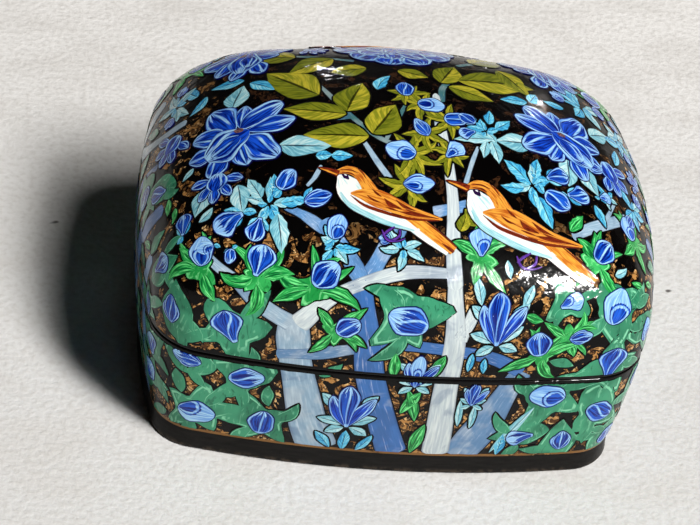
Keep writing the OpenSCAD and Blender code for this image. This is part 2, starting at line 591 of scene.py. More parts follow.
# Petals of the large flower, for a radius of 1: heading, start, length, width, bend, level and form
LARGE_PETALS = (
    (92, 0.04, 0.1, 0.66, 0.4, -10, 0, "petal"), (126, -0.1, 0.06, 0.98, 0.66, 8, 1, "wavy"),
    (44, 0.04, 0.1, 0.96, 0.56, -14, 2, "wavy"), (8, 0.16, 0.02, 0.96, 0.46, 12, 3, "petal"),
    (-40, 0.14, -0.1, 0.96, 0.6, 8, 2, "wavy"), (-66, 0.04, -0.2, 0.7, 0.46, 0, 1, "petal"),
    (168, -0.2, 0.0, 0.8, 0.5, 24, 2, "petal"), (204, -0.3, -0.3, 0.72, 0.42, -22, 3, "petal"),
    (246, -0.2, -0.5, 0.62, 0.46, 0, 2, "cup"), (214, 0.22, 0.04, 1.06, 0.82, 4, 4, "wavy"),
    (222, 0.06, -0.1, 0.66, 0.44, 0, 5, "cup"),
)
SMALL_PETALS = (
    (176, -0.2, 0.0, 0.8, 0.42, 22, 0, "petal"), (6, 0.2, 0.0, 0.8, 0.4, -20, 0, "petal"),
    (236, -0.2, -0.2, 0.7, 0.42, 0, 1, "petal"), (272, 0.0, -0.3, 0.72, 0.46, 0, 2, "petal"),
    (306, 0.2, -0.2, 0.7, 0.42, 0, 1, "petal"), (88, 0.0, -0.5, 0.84, 0.84, 0, 3, "cup"),
)


def side_bloom(place, radius, flip=1, petals=SMALL_PETALS):
    """A blue flower seen half from the side, its front petals cupped."""
    for heading, x, y, length, width, bend, level, form in petals:
        heading = heading if flip > 0 else 180 - heading
        start = (flip * x * radius, y * radius)
        length = radius * length
        petal(place, start, heading + sway(4), about(length, 0.05), radius * width, level, flip * bend, form)


def large_bloom(place, radius, flip=1):
    side_bloom(place, radius, flip, LARGE_PETALS)
    stroke("heart", place, (-radius * 0.09, radius * 0.06), 0, radius * 0.2, radius * 0.12, "round", 0, 6)


# Shares of the buds that are egg-shaped and that are drawn in to their stem. The rest open.
EGG_BUDS, STEMMED_BUDS = 0.52, 0.26
# Emerald leaves are ragged from this size on, and so is a share of the smaller ones
RAGGED_SIZE, RAGGED_SHARE = 8, 0.4


def bud(place, start, turn, length, width, level=0):
    """A bud: egg-shaped, or drawn in to its stem, or opening into three petals."""
    kind = chance.random()
    if kind < EGG_BUDS + STEMMED_BUDS:
        form = "bud" if kind < EGG_BUDS else "tulip"
        stroke("bud", place, start, turn, length, width * 1.22, form, sway(16), level)
        return
    for lean in (30, -30):
        petal(place, start, turn + lean, length * 0.9, width * 0.7, level, -2 * lean)
    stroke("bud", place, start, turn, length * 1.02, width * 0.8, "petal", 0, level + 1)


def cuffed_bud(place, turn, length):
    """A bud with three small leaves round its foot."""
    for lean in (chance.uniform(30, 60), -chance.uniform(30, 60), 180 + sway(20)):
        reach = length * (0.62 if abs(lean) < 90 else 0.42)
        stroke("turquoise_leaf", place, (0, 0), turn + lean, reach, length * 0.26, "lance", -lean * 0.3, 4)
    bud(place, (0, 0), turn, length, length * 0.64, chance.choice((0, 2)))


def small_bloom(place, start, turn, size, level):
    """A half-open blossom: a bud between two petals."""
    for lean in (-42, 42):
        petal(place, start, turn + lean, size * 0.9, size * 0.5, level, -lean * 0.9)
    stroke("bud", place, start, turn, size, size * 0.62, "bud", 0, level + 1)


def bud_on_leaf(place, size):
    """A blue bud in an emerald leaf, either ragged or long and pointed, with lesser leaves beside it."""
    if size > RAGGED_SIZE or chance.random() < RAGGED_SHARE:
        patch("emerald_leaf", place, size * 0.78, chance.choice((3, 4, 5)))
    else:
        bend = sway(40)
        start = (-size * 0.85, sway(size * 0.1))
        stroke("emerald_leaf", place, start, -bend / 2, size * 1.7, size * 0.98, "leaf", bend)
    offset = chance.uniform(0, 360)
    for i in range(2):
        heading = offset + 150 * i + sway(30)
        start = away(heading, size * 0.3)
        length = about(size * 0.95, 0.2)
        stroke("emerald_leaf", place, start, heading, length, size * 0.34, "leaf", sway(70), 1)
    bud(place, (-size * 0.4, 0), 0, about(size * 0.82), about(size * 0.54))


def fresh_sprig(place, size):
    """Bright curling leaves round the foot of a bud."""
    patch("fresh_mass", place, size * 0.44, 4, 2)
    offset = chance.uniform(0, 360)
    for i in range(4):
        bend = sway(90)
        heading = offset + 90 * i + sway(30)
        start = away(heading, size * 0.15)
        form = chance.choice(("leaf", "leaf", "jagged"))
        length = about(size * 0.94, 0.3)
        stroke("fresh_leaf", place, start, heading - bend / 2, length, size * 0.36, form, bend, 3 + i % 2)
    for heading in (60 + sway(20), 125 + sway(20)):
        stroke("fresh_leaf", place, (0, 0), heading, size * 1.1, size * 0.22, "lance", sway(80), 2)
    bud(place, (sway(size * 0.1), size * 0.04), 90 + sway(16), size * 0.82, size * 0.58)


def iris(place, size):
    """A slim upright flower: three open petals, and a cuff of pale leaves."""
    cuff = ((140, 0.42, 0.1), (40, 0.42, 0.1), (200, 0.36, 0.05), (-20, 0.36, 0.05))
    for heading, share, out in cuff + ((112, 0.4, 0.5), (62, 0.42, 0.5)):
        bend = 20 if heading > 90 else -20
        start = away(heading, size * out)
        heading += sway(10)
        stroke("pale_leaf", place, start, heading, about(size * share), size * 0.19, "lance", bend, 4)
    petal(place, (-size * 0.02, size * 0.02), 114, size * 0.8, size * 0.25, 0, -16)
    petal(place, (size * 0.02, size * 0.02), 62, size * 0.84, size * 0.25, 0, -12)
    stroke("bud", place, (0, 0), 90, size * 1.02, size * 0.35, "tulip", sway(10), 1)


def turquoise_spray(place, size, blossoms=3):
    """A loose cluster of turquoise leaves with blue blossoms at the ends of its stems."""
    offset = chance.uniform(0, 360)
    for i in range(blossoms):
        heading = offset + 360 * i / blossoms + sway(20)
        stem = away(heading, size * 0.1)
        stroke("turquoise_leaf", place, stem, heading, size * 0.7, size * 0.1, "lance", sway(30))
        start = away(heading, size * chance.uniform(0.5, 0.62))
        small_bloom(place, start, heading + sway(30), about(size * 0.52), 2 * (i % 3))
    for i in range(5):
        heading = offset + 36 + 72 * i + sway(22)
        bend = sway(50)
        form = chance.choice(("jagged", "leaf"))
        paint = chance.choice(("turquoise_leaf", "pale_leaf"))
        start = away(heading, size * chance.uniform(0.05, 0.2))
        length = size * chance.uniform(0.55, 0.9)
        stroke(paint, place, start, heading - bend / 2, length, size * 0.36, form, bend, 1 + i % 3)
    for i in range(4):
        heading = offset + 90 * i + sway(30)
        start = away(heading, size * 0.06)
        stroke("turquoise_leaf", place, start, heading, size * 0.34, size * 0.2, "lance", sway(60), 4)


def olive_sprig(place, size):
    """A small blue bud in a ruff of olive leaves."""
    for heading in (70, 120, 165, 215, 265, 310):
        bend = sway(60)
        heading -= bend / 2
        length = about(size * 0.95, 0.2)
        stroke("olive_leaf", place, (-size * 0.2, 0), heading, length, size * 0.34, "jagged", bend, 1)
    bud(place, (-size * 0.4, 0), 0, size, size * 0.64)


def lone_leaf(paint):
    def draw(place, size):
        form = chance.choice(("leaf", "jagged", "lance"))
        stroke(paint, place, (-size / 2, 0), 0, size, about(size * 0.44), form, sway(50), 1)

    return draw


# Marks of the perching bird, from its tail to its claws: colour, level and stations of (x, y, width).
# It looks left and is 34 long from beak to tail.
BIRD_LENGTH = 34
BIRD = (
    ("white", 0, ((5, -1.4, 1.4), (10, -1.9, 1.3), (16, -2.3, 0.8))),
    ("tail", 1, ((2.5, 0.6, 1.8), (7.5, 0.2, 2.4), (12, -0.3, 2.5), (16.8, -1.0, 2.0))),
    ("brown", 2, ((6.6, 1.3, 0.1), (12, 0.8, 0.35), (16.8, 0.0, 0.3))),
    ("brown", 2, ((13.6, -0.9, 0.1), (15.6, -1.1, 0.7), (16.9, -1.2, 0.6))),
    ("white", 1, ((-12.5, 0.5, 0.6), (-11.2, 0.1, 3.2), (-9.2, -0.9, 5.4), (-6.4, -2.0, 5.4),
        (-2.6, -2.6, 3.8), (1.4, -2.4, 2.8), (5, -1.7, 2.1), (8.4, -1.3, 0.8))),
    ("shade", 2, ((-10.2, -2.6, 0.3), (-7.2, -4.1, 1.0), (-3, -4.0, 1.2), (2, -3.3, 1.0), (7.4, -1.7, 0.3))),
    ("orange", 3, ((-13.2, 1.0, 0.9), (-11.6, 2.6, 1.9), (-9.6, 3.0, 2.1), (-7.4, 2.3, 2.4),
        (-5.4, 1.2, 2.8), (-3.4, 0.5, 2.4))),
    ("orange", 4, ((-8.2, -1.8, 0.4), (-6, -0.7, 2.4), (-3, 0.1, 3.9), (1, 0.7, 3.4), (4.5, 1.3, 2.3),
        (8, 2.4, 1.4), (11.2, 3.5, 0.4))),
    ("brown", 5, ((-8, -2.2, 0.1), (-4.6, -2.6, 0.6), (-1.2, -2.0, 0.7), (3.6, -0.7, 0.6), (7, 0.8, 0.5),
        (10.8, 3.0, 0.2))),
    ("brown", 5, ((-1.6, 0.9, 0.1), (0, 0.4, 1.0), (1.6, 0.6, 0.6), (2.8, 0.8, 0.2))),
    ("brown", 5, ((0.6, 1.9, 0.1), (2.8, 1.6, 0.7), (5.4, 2.0, 0.1))),
    ("brown", 5, ((2.4, 0.0, 0.1), (4.8, 0.9, 0.7), (7.4, 2.0, 0.5), (10.4, 3.2, 0.1))),
    ("brown", 5, ((-0.4, -0.6, 0.1), (1, -0.3, 0.4), (2.6, 0.1, 0.1))),
    ("brown", 5, ((-4.8, 1.4, 0.1), (-3.4, 1.0, 0.5), (-2.2, 0.9, 0.1))),
    ("brown", 5, ((3.4, 1.2, 0.1), (5.2, 1.5, 0.45), (7.6, 2.3, 0.1))),
    ("brown", 5, ((-12.2, 1.5, 0.1), (-10.6, 2.2, 0.4), (-9.4, 2.2, 0.1))),
    ("brown", 5, ((-5, -0.4, 0.1), (-3.4, -0.6, 0.45), (-1.8, -0.3, 0.1))),
    ("brown", 4, ((-12.6, 0.9, 1.6), (-14.6, 0.6, 1.1), (-17.2, 0.1, 0.2))),
    ("tail", 5, ((-12.8, 0.5, 0.3), (-14.8, 0.3, 0.4), (-16.6, 0.05, 0.1))),
    ("brown", 5, ((-12.8, 1.9, 0.1), (-11, 2.9, 0.35), (-9.2, 3.1, 0.1))),
    ("brown", 5, ((-9.8, 4.0, 0.1), (-8.4, 3.6, 0.35), (-7, 2.8, 0.1))),
    ("eye", 5, ((-11.9, 1.1, 0.3), (-11.1, 1.1, 1.15), (-10.1, 0.8, 0.3))),
    ("white", 6, ((-11.5, 1.3, 0.1), (-11.2, 1.35, 0.34), (-10.9, 1.3, 0.1))),
    ("feet", 4, ((3.4, -3.2, 0.3), (2.6, -4.8, 0.5), (2.2, -6.2, 0.3))),
    ("feet", 4, ((4.6, -3.0, 0.3), (5.2, -4.6, 0.5), (4.0, -6.6, 0.3))),
    ("feet", 5, ((1.4, -5.2, 0.2), (3.4, -6.4, 0.5), (5.4, -5.6, 0.3), (6.6, -4.2, 0.2))),
)


def bird(place, size):
    """A perching bird: white underside, orange back, streaked wing and long tail."""
    n = size / BIRD_LENGTH
    for colour, level, stations in BIRD:
        trail(f"bird_{colour}", place, [(x * n, y * n, w * n) for x, y, w in stations], level)


# The composition

GREY = shade(168, 196, 214)
PALE = shade(222, 232, 230)
SKY = shade(112, 162, 216)
TEAL = shade(70, 120, 112)
MID = shade(68, 118, 190)
DUSK = shade(112, 150, 190)


def limbs(side, rows, flip=1):
    """Trunks and boughs of one side: their tints, levels and stations, or those of the mirror image."""
    for tint, level, stations in rows:
        limb(side, [(flip * x, y, w) for x, y, w in stations], tint, level)


def set_out(motif, side, rows):
    """Draws a motif at places of one side: across, up and turn, then the motif's own measures."""
    for across, up, turn, *measures in rows:
        motif(spot(side, across, up, turn), *measures)


def leaves(side, form, unsteady, level, rows):
    """Single leaves of one side: across, up, turn, length, width and colour."""
    for across, up, turn, length, width, colour in rows:
        place = spot(side, across, up)
        stroke(f"{colour}_leaf", place, (0, 0), turn, length, width, form, sway(unsteady), level)


FRONT_TREES = (
    (DUSK, 1, ((-24, 29.5, 2.4), (-16, 31, 2.8), (-8, 33.5, 2.6))),
    (MID, 1, ((-5, 34.5, 2.2), (2, 34.6, 2.6), (9, 34, 2.6), (16, 32.4, 2.8), (22.5, 29, 3.4))),
    (GREY, 0, ((-12, 3, 8.4), (-16.5, 14, 7), (-19.6, 25, 6.4), (-21, 33, 6.4), (-22, 38, 5.2))),
    (GREY, 2, ((-22, 37, 4), (-28, 40, 3), (-33, 43.5, 2.4), (-38.5, 46, 1.8))),
    (PALE, 3, ((-21, 37, 4), (-16, 42.5, 3), (-10, 46, 2.6), (-2, 48.4, 2.4), (8, 48.6, 1.8))),
    (MID, 2, ((2, 3, 6.2), (-2, 14, 6), (-6, 26, 5.2), (-7.6, 35, 4.8), (-9.5, 43, 4.4), (-10, 47, 3.6))),
    (SKY, 1, ((-10, 46.5, 3), (-13.5, 50.5, 3), (-18, 54, 2.6))),
    (SKY, 1, ((-9.5, 46.5, 3), (-6.5, 51, 3.2), (-3.5, 54.5, 2.6))),
    (DUSK, 0, ((13.5, 3, 7.2), (17, 13, 6.8), (20.5, 24, 5), (22.5, 29, 3.6))),
    (PALE, 3, ((9.4, 3, 5.4), (9.2, 15, 5), (8.6, 26, 4.6), (8.4, 36, 4), (7.6, 44, 3), (7.2, 49, 2.6))),
    (PALE, 2, ((9.4, 36.5, 2.6), (10.6, 40, 2.4), (11.6, 43.4, 1.8))),
)
# The tips of the front trees, which reach over on to the dome
CROWN_TWIGS = (
    (PALE, 3, ((7.4, 8, 2.8), (6.4, 15.3, 2.6), (6, 24.3, 2.4), (5.3, 30.7, 2.2), (4, 38.5, 2),
        (3.6, 46.2, 1.4))),
    (GREY, 1, ((-11.6, 36.6, 0.7), (-7.6, 30.4, 1.2), (-4.2, 25.6, 1.1))),
    (GREY, 1, ((8.4, 28, 0.9), (9.6, 32, 0.9), (11, 35.6, 0.6))),
    (SKY, 1, ((2.4, 22, 2.2), (7, 23.4, 2.2), (12, 24.8, 1.6))),
    (GREY, 0, ((-21, 25.6, 0.5), (-19.6, 27.4, 0.9), (-18.4, 29.8, 0.6))),
    (GREY, 0, ((29, 19.6, 2), (34.3, 22.2, 2.4), (41, 24.6, 2.2), (44.8, 24.8, 1.6))),
    (GREY, 1, ((35.4, 22.4, 0.8), (37, 25, 0.9), (38.8, 27.6, 0.6))),
    (SKY, 0, ((-17.4, 17.6, 2.4), (-21.4, 20, 1.8), (-25, 21.6, 1.2))),
)
END_TREES = (
    (GREY, 1, ((-14, 3, 7), (-12, 14, 6.2), (-13.5, 26, 5.4), (-15, 36, 4.4), (-19, 44, 3))),
    (GREY, 0, ((-14.4, 33, 3.4), (-9, 39, 2.6), (-6, 45, 2), (-5.4, 50, 1.6))),
    (MID, 1, ((8, 3, 6.6), (6.4, 14, 6), (8.2, 26, 5), (12.4, 36, 4), (14, 44, 2.8))),
    (MID, 0, ((7.6, 24, 3), (2, 31, 2.6), (0, 38, 2), (1.4, 44, 1.6))),
    (SKY, 0, ((20, 3, 4.4), (21.6, 16, 4), (19.6, 28, 3.2), (21, 38, 2.4))),
)
CROWN_STEMS = (
    (TEAL, 0, ((-5, -13, 0.9), (-9, -10.4, 1.1), (-13.4, -5, 1.1), (-16.6, 1, 0.9), (-18, 4, 0.6))),
    (TEAL, 0, ((-12, -6.2, 0.9), (-16, -6.4, 0.8), (-20, -5.2, 0.6))),
    (TEAL, 0, ((-6.4, -11.8, 0.8), (-4.2, -7, 0.9), (-2.4, -3, 0.7))),
    (TEAL, 0, ((4.6, -1, 1.2), (5.4, 4, 1.2), (9, 8, 1), (15, 10.4, 0.7))),
    (TEAL, 0, ((-11, 13, 1), (-16, 14.6, 1), (-24, 17.6, 0.7))),
    (TEAL, 0, ((9, 14, 1), (14, 18, 1), (20, 22, 0.7))),
)


def front_leaves():
    set_out(bud_on_leaf, "front", (
        (-37, 10.5, 4, 9), (-24.5, 10.5, 88, 8.5), (-29, 22, 8, 7.6), (-40, 24.5, 170, 7),
        (-33.5, 34, 120, 9), (-44, 34.5, 100, 7.6), (-46, 15, 80, 7), (-0.5, 40, 160, 9.4),
        (28.5, 22.4, 172, 9), (39.8, 17, -42, 8.4), (39.6, 30, 86, 8.6), (38.6, 42.4, 80, 8.4),
        (46, 35, 95, 7), (46.4, 22, 100, 7), (25, 10.8, 190, 7), (33.6, 9.4, 92, 7.4), (43, 8.5, 60, 6.6),
        (29.5, 44, 30, 5.4),
    ))
    set_out(fresh_sprig, "front", (
        (-39.5, 44, 10, 7), (-29, 44.5, -14, 7.4), (-18.5, 44.4, -24, 7.4), (-14, 36.6, -60, 6),
        (11.5, 51, 4, 6.4), (34, 49.4, -20, 6.6), (25.5, 33, 24, 6.8), (30, 37, -70, 5.4),
        (42.4, 47.6, 20, 6.2),
    ))
    set_out(iris, "front", (
        (16.4, 35.6, 4, 11.4), (-8.6, 12, 6, 11.4), (2.6, 24.4, 0, 8), (14.2, 20, 0, 5.8),
    ))
    leaves("front", "lance", 16, 1, (
        (1, 17, 70, 7, 2.4, "fresh"), (4, 15, 100, 9, 2.2, "fresh"), (4.6, 5.4, 84, 9, 2.6, "fresh"),
        (-1.6, 26.4, 96, 6.4, 2.2, "fresh"), (5.6, 27, 80, 6, 2.2, "fresh"), (20, 6, 66, 15, 2, "pale"),
        (21.4, 5.2, 84, 6.4, 2, "turquoise"), (-11, 5.4, 120, 5.6, 2, "turquoise"),
        (-8.6, 5, 88, 6, 2.2, "turquoise"), (-6, 5.2, 56, 5.6, 1.8, "turquoise"),
        (12.4, 14, 92, 7.4, 1.4, "pale"), (14.8, 13.4, 84, 6.6, 1.3, "pale"),
        (12, 29, 84, 4.6, 1.4, "turquoise"), (15, 28.6, 96, 3.8, 1.3, "turquoise"),
        (20.5, 43, 70, 5, 1.8, "pale"), (12.6, 43.6, 104, 5.6, 2, "pale"),
    ))


def crown_flowers():
    ball_bloom(spot("top", -2.5, 22), 12)
    set_out(large_bloom, "top", (
        (-33.2, -5.4, -11, 10, 1), (28.2, -2.6, 4, 9.4, -1), (-31, 21, 40, 8.4, 1), (27, 22, -30, 8.4, -1),
    ))
    set_out(side_bloom, "top", (
        (-37, -15.6, -10, 5.4, 1), (38, -5, 30, 6, -1), (-44.4, 1, -50, 5.4, 1),
    ))


def crown_leaves():
    leaves("top", "leaf", 8, 0, [(*row, "olive") for row in (
        (-18.4, 1, 136, 14.4, 7.8), (-13.6, -5.4, 165, 12.4, 5.2), (-13.4, -4.6, 72, 9, 7),
        (-9.6, -11.2, 178, 12.4, 6), (-8.8, -10.6, 58, 9, 6.8), (-22, 16, 150, 12, 6), (-15, 14, 205, 10, 6),
        (-9, 9.4, 190, 7, 4.6), (-3, 8.8, -20, 6, 4), (8.6, 7, 18, 16.6, 7.4), (6.4, 4.2, -16, 9, 4.4),
        (5, 5.4, 66, 8.6, 5.8), (12, 17, 40, 10, 6), (17, 15, -50, 10, 5.4), (-28, 27, 20, 8, 4),
        (12, 25, 150, 8, 4),
    )])
    set_out(olive_sprig, "top", (
        (-2.2, 1.6, 100, 4.4), (2, -2.4, 0, 5.2), (6.6, -5.8, 10, 4.6), (0.6, -9, 120, 4.6),
        (-3.2, -14.4, 175, 5.8), (6, -13.6, 50, 4.4), (-1, -20.6, 5, 5.8),
    ))
    leaves("top", "leaf", 14, 1, (
        (-34, 2.6, 74, 7, 5, "pale"), (-26, -11.4, -16, 10, 5, "pale"),
        (-38.6, -16.6, 236, 6.4, 4.2, "pale"), (-33.4, -18.6, -80, 6.4, 3.8, "pale"),
        (-31.6, 11, 170, 7, 2.8, "turquoise"), (-30.6, 9.4, -40, 6.6, 2.8, "turquoise"),
        (-40, 12, 120, 5, 2.8, "turquoise"), (22, -7.6, 197, 8, 4.6, "pale"),
        (28.8, -8.6, -84, 7, 4.4, "pale"), (31.6, -8.6, -60, 7, 4.4, "pale"), (35, 3, 44, 7, 4, "pale"),
        (-19.4, -15.2, 0, 3, 2.2, "turquoise"), (-16.6, -15.4, 2, 4, 2.2, "turquoise"),
        (22, 5, 196, 6, 2.6, "turquoise"), (22.6, 5.4, 60, 4, 2.8, "turquoise"),
        (10.4, -26.6, 120, 3.8, 2.8, "olive"), (7.6, -27.6, 70, 3.6, 2.6, "olive"),
    ))


def crown_sprays():
    set_out(turquoise_spray, "top", (
        (-27.8, -23.8, 10, 5.4, 0), (-15.6, -30.4, 30, 4.6, 0), (12.6, -7.6, 10, 4, 0),
        (21.2, -18, 20, 5.4, 0), (34.4, 12.6, 0, 7.4, 2), (42.6, 10.6, 0, 6, 2), (43, -10.6, 0, 5.6, 2),
        (37, -13, 0, 3.4, 0), (-43.6, 12.6, 0, 6, 2), (-3, -30.6, 30, 4.6, 1),
    ))
    leaves("top", "jagged", 24, 3, (
        (-29.2, -22.4, 118, 5.2, 3, "pale"), (-27.4, -22.6, 80, 5, 2.4, "turquoise"),
        (-25.6, -23.8, 14, 5, 2.2, "turquoise"), (-26.2, -25.4, -76, 7.6, 3.6, "pale"),
        (20, -17, 128, 5.6, 2.8, "turquoise"), (21.8, -16.4, 84, 5, 2.6, "turquoise"),
        (22.4, -20, -62, 6.6, 3, "turquoise"), (19.6, -18.8, 190, 4.6, 2.2, "turquoise"),
        (13.4, -5.4, 84, 4, 2.2, "turquoise"), (14.6, -6.4, 36, 4.6, 2.4, "turquoise"),
        (14, -9.4, 186, 7.8, 2.4, "pale"), (13.6, -10, -64, 5.2, 2.6, "pale"),
        (12.6, -10.2, -98, 4, 2.2, "pale"), (33.8, -17.2, -50, 5, 2.2, "turquoise"),
        (28.6, -24.6, 58, 4.6, 2.6, "fresh"), (28.6, 15.6, 20, 8, 2.8, "turquoise"),
        (38.8, 6, 30, 5.6, 2.6, "turquoise"),
    ))
    for x, y, turn, length in (
        (-32.4, -24.6, 200, 6.2), (-29.2, -25.8, 245, 4.6), (-25.8, -21.4, 58, 4.8), (-21.4, -23.8, 20, 5.2),
        (-15.8, -29.4, 78, 4.8), (-37.4, -28.4, 190, 3.4), (-34, -29.6, 250, 2.8), (-42.8, -24, 90, 4.6),
        (24.2, -15.6, 32, 5.2), (23.6, -19, -18, 5.6), (28.2, -17.8, 8, 5.2), (35.2, -14.4, 20, 3.2),
        (10.8, -5.8, 160, 3.6), (10.6, -8.2, 190, 3.4),
    ):
        cuffed_bud(spot("top", x, y), turn + sway(8), length)


def bare_spots(tries):
    """Points spread evenly by chance over the body's outside, with the way out of it there."""
    corners = GUIDE_POINTS[GUIDE_FACES]
    areas = np.linalg.norm(np.cross(corners[:, 2] - corners[:, 0], corners[:, 3] - corners[:, 1]), axis=1)
    for i in chance.choices(range(len(areas)), areas, k=tries):
        a, b = chance.random(), chance.random()
        low = corners[i, 0] * (1 - a) + corners[i, 1] * a
        high = corners[i, 3] * (1 - a) + corners[i, 2] * a
        point, out, _, _ = GUIDE.find_nearest(Vector(low * (1 - b) + high * b))
        yield point, out


def fill(motif, size, room, low_z, high_z, tries=2500, upright=False):
    """Puts a motif wherever the ground is still bare within room of it, between two heights."""
    taken = [p for c in coats.values() for block in c.points for p in block]
    tree = KDTree(len(taken))
    for i, p in enumerate(taken):
        tree.insert(p, i)
    tree.balance()
    placed = []
    for point, out in bare_spots(tries):
        crowded = any((point - p).length < room + size * 0.5 for p in placed)
        if not low_z < point.z < high_z or crowded or tree.find(point)[2] < room:
            continue
        level = Vector((0, 0, 1)).cross(out) if abs(out.z) < 0.95 else Vector((1, 0, 0))
        motif(Spot(point, out, level, sway(25) if upright else sway(180)), about(size, 0.12))
        placed.append(point)


def paint_box():
    limbs("front", FRONT_TREES)
    limbs("brow", CROWN_TWIGS)
    limbs("back", FRONT_TREES, -1)
    limbs("left", END_TREES)
    limbs("right", END_TREES, -1)
    front_leaves()
    crown_flowers()
    limbs("top", CROWN_STEMS)
    crown_leaves()
    crown_sprays()
    bird(spot("top", -6.0, -24.6, -28.5), 29.8)
    bird(spot("top", 19.6, -25.8, -28.5), 34)
    bird(spot("back", 4, 54, 18), 30)
    top_z = BOX_H + 1
    fill(bud_on_leaf, 8.6, 5.4, 7, 42)
    fill(fresh_sprig, 6.6, 4.6, 38, 50, upright=True)
    fill(large_bloom, 7.5, 7.2, 48, top_z)
    fill(turquoise_spray, 6.9, 4.6, 46, top_z)
    fill(bud_on_leaf, 6, 2.9, 6, 45)
    fill(lone_leaf("emerald_leaf"), 5.6, 1.9, 5, 45, 5000)
    fill(side_bloom, 3.4, 3.6, 46, top_z, 4000)
    fill(olive_sprig, 4.2, 3.2, 48, top_z, 4000)
    fill(lone_leaf("turquoise_leaf"), 5.3, 2.6, 44, top_z, 4000)
    fill(lone_leaf("fresh_leaf"), 3.6, 1.6, 30, 46, 4000)
    fill(lone_leaf("pale_leaf"), 3.6, 1.7, 8, 50, 3000)


paint_box()


# Shaders

# The clear varnish, its ripple and the brush's relief under it
VARNISH_ROUGHNESS = 0.07
VARNISH_IOR = 1.32
RIPPLE = 0.42
RIPPLE_H = 0.4
BRUSH_H = 0.3
PAINT_SHINE = 0.02


class Signal:
    """A value in a shader, which can be reckoned with like a number."""

    def __init__(self, nodes, socket):
        self.nodes, self.socket = nodes, socket

    def __add__(self, other):
        return self.nodes.maths("ADD", self, other)

    def __sub__(self, other):
        return self.nodes.maths("SUBTRACT", self, other)

    def __rsub__(self, other):
        return self.nodes.maths("SUBTRACT", other, self)

    def __mul__(self, other):
        return self.nodes.maths("MULTIPLY", self, other)

    def __abs__(self):
        return self.nodes.maths("ABSOLUTE", self)


class Nodes:
    """The node tree of a material or the world, with short ways to add and join nodes."""

    def __init__(self, name, kind="materials"):
        self.owner = getattr(bpy.data, kind).new(name)
        self.owner.use_nodes = True
        self.tree = self.owner.node_tree
        self.tree.nodes.clear()

    def put(self, socket, value):
        if isinstance(value, Signal):
            self.tree.links.new(value.socket, socket)
        else:
            socket.default_value = value

    def add(self, kind, **inputs):
        node = self.tree.nodes.new("ShaderNode" + kind)
        for name, value in inputs.items():
            self.put(node.inputs[name.replace("_", " ")], value)
        return node

    def out(self, node, output=0):
        return Signal(self, node.outputs[output])

    def maths(self, operation, a, b=0.0):
        node = self.add("Math")
        node.operation = operation
        self.put(node.inputs[0], a)
        self.put(node.inputs[1], b)
        return self.out(node)

    def fade(self, value, low, high, to_low=0.0, to_high=1.0, how="SMOOTHSTEP"):
        node = self.add("MapRange")
        node.interpolation_type = how
        for socket, number in zip(node.inputs, (value, low, high, to_low, to_high)):
            self.put(socket, number)
        return self.out(node)

    def mix(self, share, a, b):
        node = self.add("Mix")
        node.data_type = "RGBA"
        for i, value in ((0, share), (6, a), (7, b)):
            self.put(node.inputs[i], value)
        return self.out(node, 2)

    def noise(self, where, scale, detail=2.0, twist=0.0):
        return self.out(self.add("TexNoise", Vector=where, Scale=scale, Detail=detail, Distortion=twist))

    def stretch(self, where, scale):
        return self.out(self.add("Mapping", Vector=where, Scale=scale))

    def part(self, vector, axis):
        return self.out(self.add("SeparateXYZ", Vector=vector), axis)

    def trait(self, name, output="Fac"):
        """What the points of the marks carry under a name."""
        node = self.add("Attribute")
        node.attribute_name = name
        return self.out(node, output)

    def mark(self):
        """Across, along and the seed of the mark that is being painted."""
        where = self.trait("stroke", "Vector")
        return self.part(where, 0), self.part(where, 1), self.trait("seed")

    def body(self):
        return self.out(self.add("TexCoord"), "Object")

    def lacquer(self, colour, roughness, bump, strength, coat=1.0):
        """Paint under clear varnish, which ripples a little."""
        waves = self.noise(self.body(), 230, 4, 0.6)
        ripple = self.add("Bump", Strength=RIPPLE, Distance=RIPPLE_H * MM, Height=waves)
        relief = self.add("Bump", Strength=strength, Distance=BRUSH_H * MM, Height=bump)
        self.put(relief.inputs["Normal"], self.out(ripple))
        normal = self.out(relief)
        paint = {"Base_Color": colour, "Roughness": roughness, "Specular_IOR_Level": PAINT_SHINE}
        varnish = {"Coat_Weight": coat, "Coat_Roughness": VARNISH_ROUGHNESS, "Coat_IOR": VARNISH_IOR}
        shader = self.add("BsdfPrincipled", **paint, **varnish, Normal=normal, Coat_Normal=normal)
        self.add("OutputMaterial", Surface=self.out(shader))
        return self.owner


def streaks(n, across, along, seed, fine, long):
    """Hair lines of the brush, which run along the mark."""
    where = n.add("CombineXYZ", X=across * fine, Y=along * long, Z=seed * 60.0)
    return n.noise(n.out(where), 1.6, 3.0)


